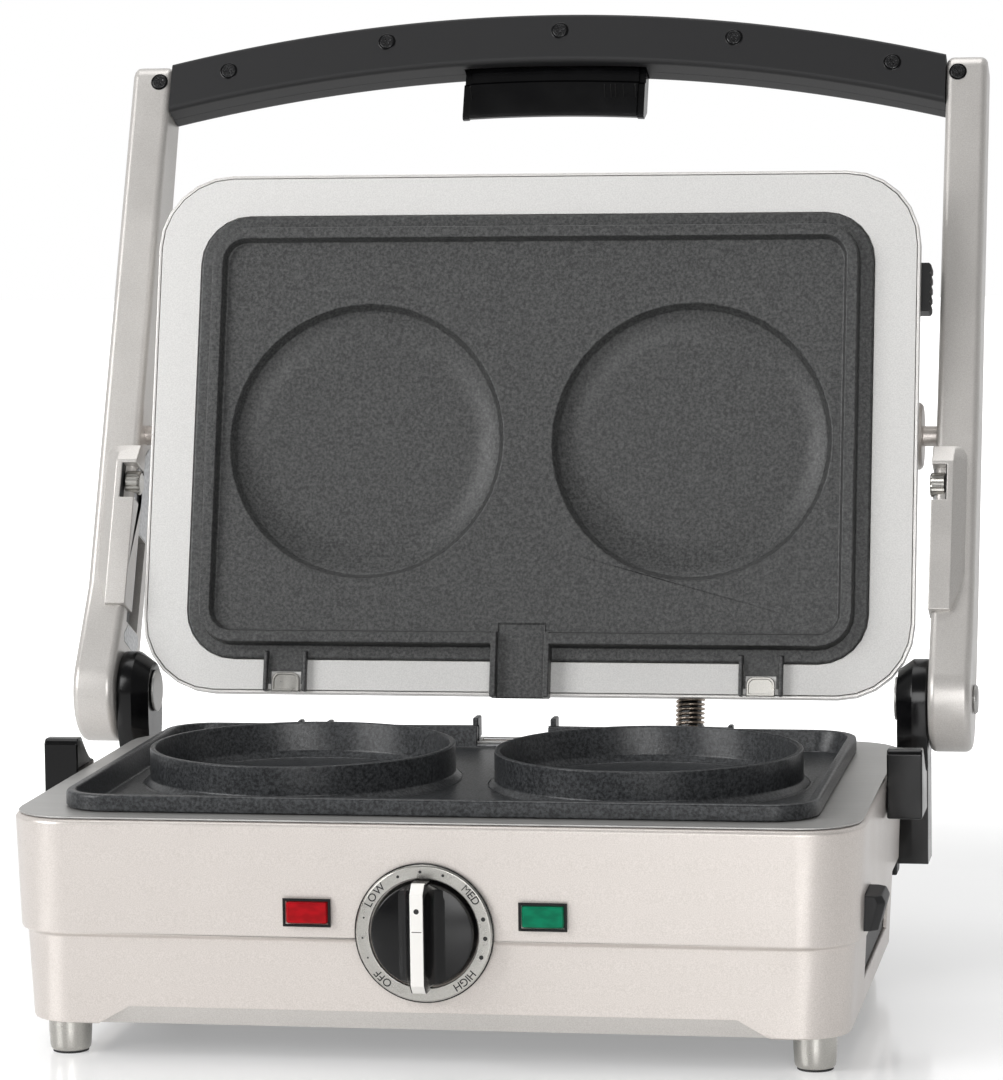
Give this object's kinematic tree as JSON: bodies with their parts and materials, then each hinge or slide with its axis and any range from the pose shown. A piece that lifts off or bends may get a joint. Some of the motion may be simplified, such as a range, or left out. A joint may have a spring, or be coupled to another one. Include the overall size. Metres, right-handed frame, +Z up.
{
  "type": "electric grill",
  "caption": "Counter-top electric twin-pancake grill, open, with a floating cover on two side arms, removable plates, dial, lamps and drip tray.",
  "frame": {"origin": "centre of the bounding box, on the surface that the feet stand on", "axes": "+Z up, the dial and the hand side of the handle face -Y, +X to the right seen from the front"},
  "size_m": [0.4032, 0.3942, 0.4166],
  "materials": {
    "champagne_paint": "satin champagne-silver paint",
    "champagne_casting": "casting in satin champagne-silver paint",
    "satin_steel": "satin",
    "brushed_aluminium": "brushed",
    "nonstick": "casting with a speckled dark non-stick coating",
    "black_plastic": "gloss",
    "charcoal_plastic": "satin",
    "chrome": "polished",
    "zinc_sheet": "plated sheet",
    "dark_steel": "dark oxide",
    "rubber": "matt",
    "red_lens": "gloss",
    "green_lens": "gloss"
  },
  "bodies": {
    "base": {"base_housing": "champagne_paint", "base_tub": "charcoal_plastic", "deck_plate": "satin_steel", "rear_cover": "charcoal_plastic", "drain_chute": "zinc_sheet", "foot_front_left": "satin_steel", "foot_front_right": "satin_steel", "foot_rear_left": "satin_steel", "foot_rear_right": "satin_steel", "foot_pad_front_left": "rubber", "foot_pad_front_right": "rubber", "foot_pad_rear_left": "rubber", "foot_pad_rear_right": "rubber", "lower_reflector": "zinc_sheet", "lower_element": "dark_steel", "thermostat": "black_plastic", "dial_bezel": "chrome", "lamp_frame_left": "black_plastic", "lamp_frame_right": "black_plastic", "lamp_lens_left": "red_lens", "lamp_lens_right": "green_lens", "hinge_knuckle_left": "black_plastic", "hinge_knuckle_right": "black_plastic", "hinge_bolt_left": "satin_steel", "hinge_bolt_right": "satin_steel", "arm_rest_left": "black_plastic", "arm_rest_right": "black_plastic", "lower_plate_hook_left": "zinc_sheet", "lower_plate_hook_right": "zinc_sheet", "conduit_fitting_lower": "charcoal_plastic", "conduit_coil": "dark_steel", "conduit_core": "black_plastic", "cord_inlet": "black_plastic"},
    "arms": {"arm_left": "champagne_casting", "arm_right": "champagne_casting", "arm_box_left": "champagne_casting", "arm_box_right": "champagne_casting", "roller_left": "zinc_sheet", "roller_right": "zinc_sheet", "handle_front": "charcoal_plastic", "handle_back": "charcoal_plastic"},
    "cover": {"cover_shell": "champagne_paint", "cover_trim": "brushed_aluminium", "upper_reflector": "zinc_sheet", "upper_element": "dark_steel", "upper_hook_left": "zinc_sheet", "upper_hook_right": "zinc_sheet", "pivot_pin_left": "champagne_paint", "pivot_pin_right": "champagne_paint", "conduit_fitting_upper": "charcoal_plastic"},
    "knob": {"knob_body": "black_plastic", "knob_strip": "chrome", "thermostat_shaft": "zinc_sheet"},
    "lower_button": {"lower_button": "charcoal_plastic"},
    "upper_button": {"upper_button": "charcoal_plastic"},
    "drip_tray": {"drip_tray": "charcoal_plastic"},
    "lower_plate": {"lower_plate": "nonstick"},
    "upper_plate": {"upper_plate": "nonstick"},
    "handle_trigger": {"handle_trigger": "black_plastic"}
  },
  "joints": [
    {"name": "arm_hinge", "type": "hinge", "parent": "base", "child": "arms", "pos_m": [0, 0.05568, 0.1169], "axis": [1, 0, 0], "range_deg": [-75.34, 104.66], "deforming": ["conduit_coil", "conduit_core"]},
    {"name": "cover_pivot", "type": "hinge", "parent": "arms", "child": "cover", "pos_m": [0, 0.10627, 0.2277], "axis": [-1, 0, 0], "range_deg": [-5, 0]},
    {"name": "knob_turn", "type": "hinge", "parent": "base", "child": "knob", "pos_m": [0, -0.18112, 0.0558], "axis": [0, 1, 0], "range_deg": [-135, 135]},
    {"name": "lower_button_press", "type": "slide", "parent": "base", "child": "lower_button", "axis": [-1, 0, 0], "range_m": [0, 0.003], "stiffness_N_per_m": 900},
    {"name": "upper_button_press", "type": "slide", "parent": "cover", "child": "upper_button", "axis": [-1, 0, 0], "range_m": [0, 0.003], "stiffness_N_per_m": 900},
    {"name": "tray_slide", "type": "slide", "parent": "base", "child": "drip_tray", "axis": [1, 0, 0], "range_m": [0, 0.22]},
    {"name": "lower_plate_lift", "type": "slide", "parent": "base", "child": "lower_plate", "axis": [0, 0.2588, -0.9659], "range_m": [-0.06, 0]},
    {"name": "upper_plate_pull", "type": "slide", "parent": "cover", "child": "upper_plate", "axis": [0, 0.9674, -0.2531], "range_m": [-0.05, 0]},
    {"name": "trigger_squeeze", "type": "slide", "parent": "arms", "child": "handle_trigger", "axis": [0, 0.4063, 0.9137], "range_m": [0, 0.004], "stiffness_N_per_m": 1200}
  ]
}
